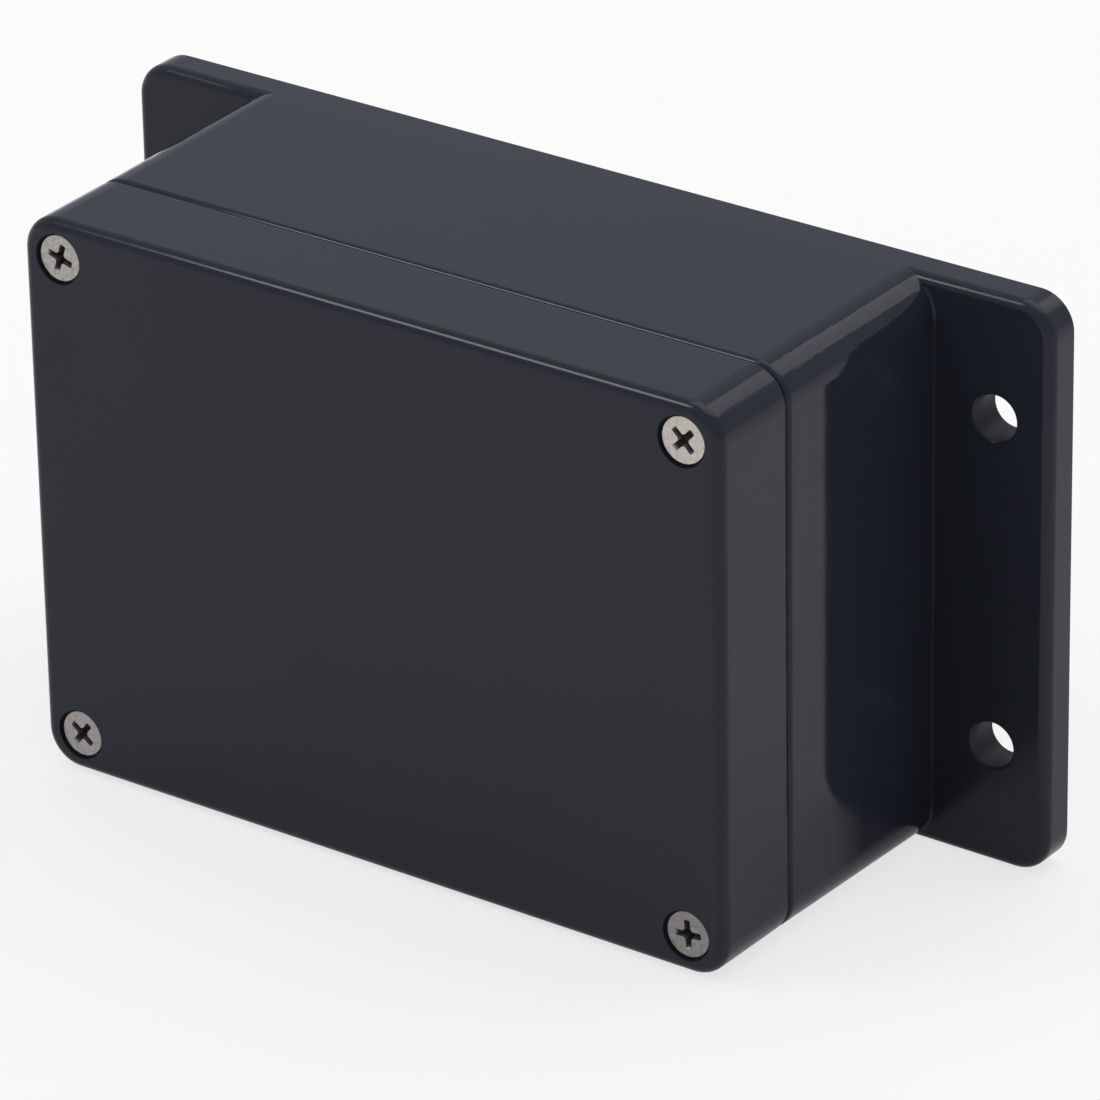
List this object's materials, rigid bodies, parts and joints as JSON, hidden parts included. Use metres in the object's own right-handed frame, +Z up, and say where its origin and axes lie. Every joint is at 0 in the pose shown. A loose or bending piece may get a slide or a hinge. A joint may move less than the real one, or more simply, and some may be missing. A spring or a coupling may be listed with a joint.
{
  "type": "flanged plastic project box",
  "caption": "Rectangular moulded electronics box with a screwed lid on a foam seal and a full-height back flange whose ears carry mounting holes.",
  "frame": {"origin": "centre of the four mounting holes, on the flat back", "axes": "+Z up the box's short side, +X along its length, +Y out of the mounting back; the lid faces -Y"},
  "size_m": [0.164, 0.0587, 0.0908],
  "materials": {
    "base_plastic": "black ABS, satin on the walls and ears",
    "lid_plastic": "black ABS, finely spark-textured face",
    "seal_foam": "dark closed-cell foam",
    "screw_steel": "nickel-plated steel",
    "insert_brass": "turned brass"
  },
  "bodies": {
    "base": {"base_box": "base_plastic", "brass_insert_1": "insert_brass", "brass_insert_2": "insert_brass", "brass_insert_3": "insert_brass", "brass_insert_4": "insert_brass"},
    "lid": {"lid": "lid_plastic", "gasket": "seal_foam"},
    "screw_1": {"lid_screw_1": "screw_steel"},
    "screw_2": {"lid_screw_2": "screw_steel"},
    "screw_3": {"lid_screw_3": "screw_steel"},
    "screw_4": {"lid_screw_4": "screw_steel"}
  },
  "joints": [
    {"name": "lid_lift", "type": "slide", "parent": "base", "child": "lid", "axis": [0, -1, 0], "range_m": [0, 0.06]},
    {"name": "screw_1_out", "type": "slide", "parent": "lid", "child": "screw_1", "axis": [0, -1, 0], "range_m": [0, 0.027]},
    {"name": "screw_2_out", "type": "slide", "parent": "lid", "child": "screw_2", "axis": [0, -1, 0], "range_m": [0, 0.027]},
    {"name": "screw_3_out", "type": "slide", "parent": "lid", "child": "screw_3", "axis": [0, -1, 0], "range_m": [0, 0.027]},
    {"name": "screw_4_out", "type": "slide", "parent": "lid", "child": "screw_4", "axis": [0, -1, 0], "range_m": [0, 0.027]}
  ]
}
